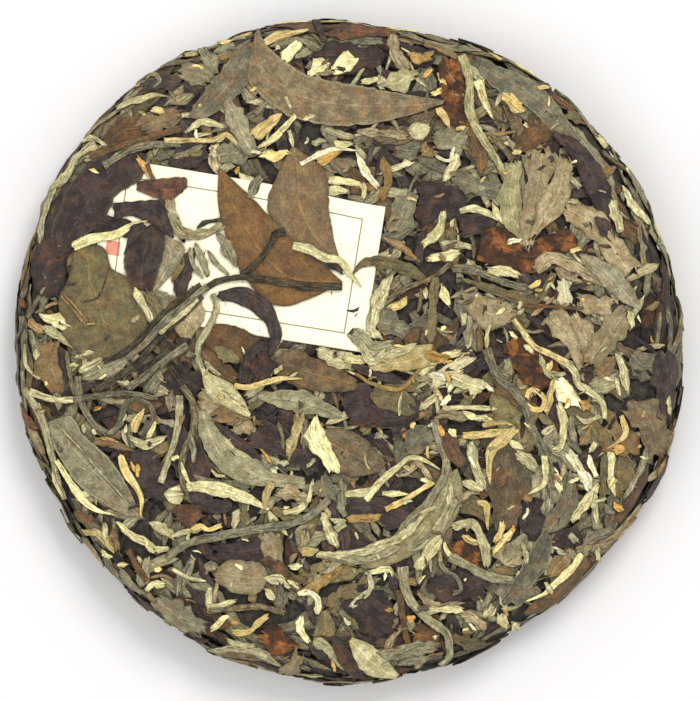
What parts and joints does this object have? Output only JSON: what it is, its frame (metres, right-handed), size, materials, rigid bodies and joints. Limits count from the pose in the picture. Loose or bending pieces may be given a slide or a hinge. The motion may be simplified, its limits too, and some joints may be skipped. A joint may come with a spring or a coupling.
{
  "type": "white tea cake",
  "caption": "Round cake of pressed whole tea leaves, buds and stalks, domed on top and dimpled underneath, with a small paper ticket pressed under the top leaves.",
  "frame": {"origin": "on the surface that the cake lies on, under the middle of its outline", "axes": "+Z up, through the dimple and the dome; +X right and +Y up in a view straight down on the cake"},
  "size_m": [0.2006, 0.1996, 0.0279],
  "materials": {
    "pressed_tea": "dry, matt leaves, from plum black and slate to cream buds",
    "ticket_paper": "matt cream paper"
  },
  "bodies": {
    "root": {"cake": "pressed_tea", "ticket": "ticket_paper"}
  },
  "joints": []
}
